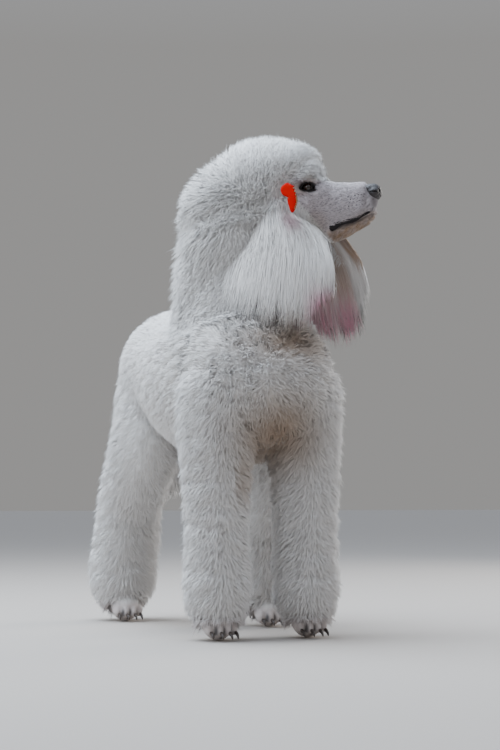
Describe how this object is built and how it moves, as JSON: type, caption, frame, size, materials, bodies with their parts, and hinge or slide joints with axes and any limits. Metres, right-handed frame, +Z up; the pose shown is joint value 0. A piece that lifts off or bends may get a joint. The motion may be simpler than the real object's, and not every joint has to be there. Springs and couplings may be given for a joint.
{
  "type": "standard poodle",
  "caption": "White standard poodle in a fluffy full-leg clip, standing, head turned to its left, shaved muzzle and toes, long ears, hanging tail and a red hair clip.",
  "frame": {"origin": "on the floor, under the middle of the model's box", "axes": "+Z up, +Y from the chest towards the tail, +X to the dog's left"},
  "size_m": [0.3926, 0.7804, 0.8928],
  "materials": {
    "coat": "dense white curly and brushed-out hair",
    "face": "close-shaved white hair over pinkish grey skin",
    "foot": "shaved toes, pinkish cream skin",
    "nose": "damp black leather",
    "eye": "dark brown, wet",
    "claw": "dark horn",
    "ornament": "bright red"
  },
  "bodies": {
    "root": {"lower_jaw": "face", "head": "face", "topknot": "coat", "ear_left": "coat", "eye_left": "eye", "ear_right": "coat", "eye_right": "eye", "nose": "nose", "hair_clip": "ornament", "neck": "coat", "front_leg_left": "coat", "front_leg_right": "coat", "hind_leg_left": "coat", "hind_leg_right": "coat", "torso": "coat", "tail": "coat", "paw_front_left": "foot", "claw_front_left_1": "claw", "claw_front_left_2": "claw", "claw_front_left_3": "claw", "claw_front_left_4": "claw", "paw_front_right": "foot", "claw_front_right_1": "claw", "claw_front_right_2": "claw", "claw_front_right_3": "claw", "claw_front_right_4": "claw", "paw_hind_left": "foot", "claw_hind_left_1": "claw", "claw_hind_left_2": "claw", "claw_hind_left_3": "claw", "claw_hind_left_4": "claw", "paw_hind_right": "foot", "claw_hind_right_1": "claw", "claw_hind_right_2": "claw", "claw_hind_right_3": "claw", "claw_hind_right_4": "claw"}
  },
  "joints": []
}
